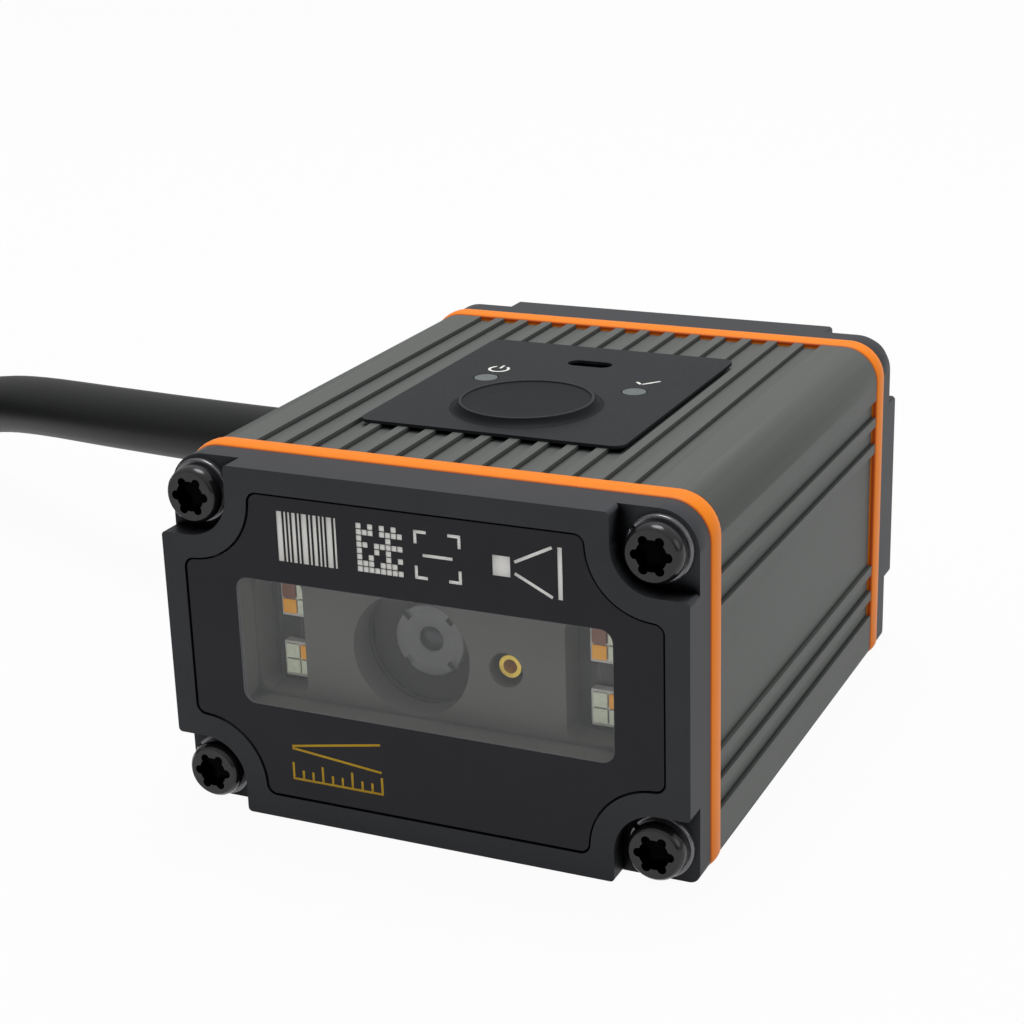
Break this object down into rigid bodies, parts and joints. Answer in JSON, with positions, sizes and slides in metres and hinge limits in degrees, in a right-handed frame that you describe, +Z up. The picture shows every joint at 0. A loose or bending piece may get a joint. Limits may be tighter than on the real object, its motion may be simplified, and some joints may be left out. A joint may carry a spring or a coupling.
{
  "type": "fixed barcode reader",
  "caption": "Compact fixed-mount barcode reader: ribbed aluminium tube, gasketed end caps, reading window, top trigger key and a captive cable.",
  "frame": {"origin": "on the base, under the middle of the tube", "axes": "+X to the right seen from in front of the window, +Y away from the window towards the rear cover, +Z up through the trigger key"},
  "size_m": [0.2326, 0.1169, 0.0344],
  "materials": {
    "anodised_tube": "fine bead-blasted and grey anodised",
    "black_cap": "satin black",
    "orange_gasket": "smooth silicone, slightly glossy",
    "black_screw": "black oxide",
    "dark_steel": "blackened spring steel",
    "grey_board": "grey solder mask",
    "clear_pane": "clear and smooth",
    "black_mask": "flat black",
    "grey_shroud": "fine moulded texture",
    "circuit_board": "solder mask",
    "amber_light": "smooth",
    "brown_light": "smooth",
    "pale_light": "smooth",
    "lens_barrel_grey": "fine moulded texture",
    "lens_glass": "coated",
    "black_chip": "moulded",
    "bright_steel": "bright",
    "brass": "turned",
    "amber_flex": "polyimide film",
    "pale_plastic": "moulded",
    "red_lead": "smooth",
    "grey_overlay": "fine film texture",
    "status_lens": "frosted",
    "black_cable": "satin",
    "black_strap": "woven"
  },
  "bodies": {
    "reader": {"housing_extrusion": "anodised_tube", "front_bezel": "black_cap", "rear_cover": "black_cap", "front_gasket": "orange_gasket", "rear_gasket": "orange_gasket", "front_screws": "black_screw", "front_washers": "dark_steel", "rear_screws": "black_screw", "rear_washers": "dark_steel", "window_pane": "clear_pane", "window_mask": "black_mask", "light_shroud": "grey_shroud", "illumination_board": "grey_board", "light_packages": "pale_plastic", "amber_dies": "amber_light", "brown_dies": "brown_light", "pale_dies": "pale_light", "lens_holder": "grey_shroud", "lens_barrel": "lens_barrel_grey", "lens": "lens_glass", "image_sensor": "black_chip", "sensor_board": "circuit_board", "optics_screws": "bright_steel", "aimer_tube": "brass", "aimer_emitter": "bright_steel", "sensor_flex": "amber_flex", "decoder_board": "circuit_board", "decoder_chips": "black_chip", "capacitors": "bright_steel", "cable_header": "pale_plastic", "cable_leads": "red_lead", "link_flex": "amber_flex", "key_board": "circuit_board", "trigger_switch": "black_chip", "overlay": "grey_overlay", "light_pipes": "status_lens", "status_leds": "pale_light", "buzzer": "black_chip", "strain_relief": "black_cable", "cable": "black_cable", "cable_coil": "black_cable", "cable_tie": "black_strap", "cable_tail": "black_cable", "plug_body": "black_cable", "plug_shell": "bright_steel", "plug_tongue": "pale_plastic"},
    "trigger": {"trigger_key": "grey_overlay", "switch_plunger": "pale_plastic"}
  },
  "joints": [
    {"name": "trigger_press", "type": "slide", "parent": "reader", "child": "trigger", "axis": [0, 0, -1], "range_m": [0, 0.00035], "stiffness_N_per_m": 1500}
  ]
}
